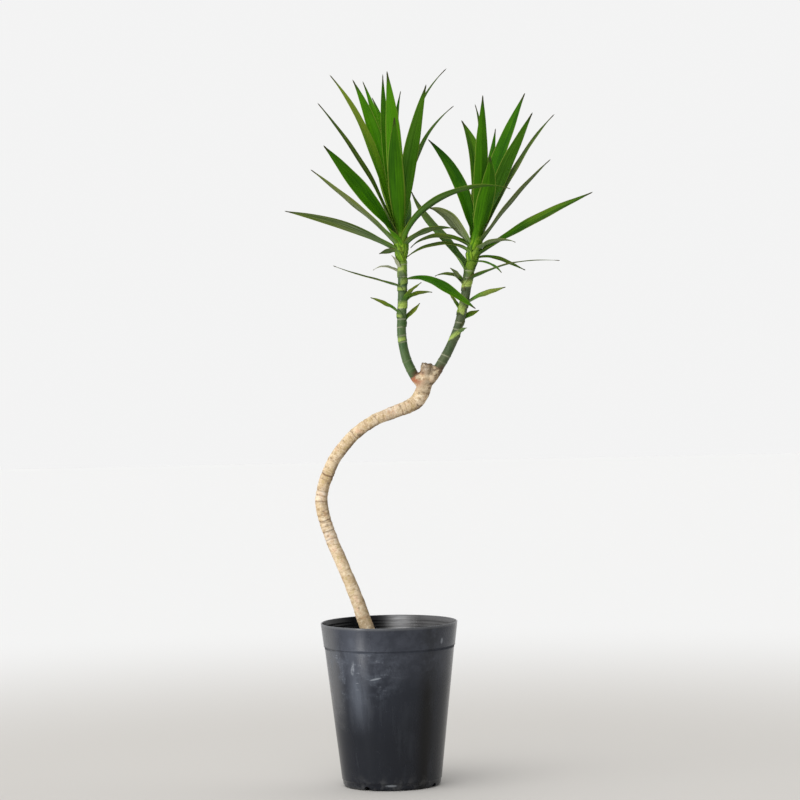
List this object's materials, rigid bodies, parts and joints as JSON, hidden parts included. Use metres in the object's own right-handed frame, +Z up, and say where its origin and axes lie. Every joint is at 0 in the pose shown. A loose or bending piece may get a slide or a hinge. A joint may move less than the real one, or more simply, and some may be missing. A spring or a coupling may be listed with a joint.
{
  "type": "potted dracaena",
  "caption": "Young dracaena: a bent woody trunk forks into green canes with heads of narrow pointed leaves, growing in a tapered plastic nursery pot filled with soil.",
  "frame": {"origin": "centre of the pot's underside", "axes": "+Z up along the plant, +X to the right and +Y away from the viewer as seen in the picture"},
  "size_m": [0.3354, 0.2146, 0.7874],
  "materials": {
    "black_plastic": "satin",
    "potting_soil": "matte",
    "trunk_bark": "matte",
    "green_cane": "satin",
    "green_leaf": "satin"
  },
  "bodies": {
    "root": {"pot": "black_plastic", "soil": "potting_soil", "trunk": "trunk_bark", "left_cane": "green_cane", "right_cane": "green_cane", "left_crown": "green_leaf", "right_crown": "green_leaf"}
  },
  "joints": []
}
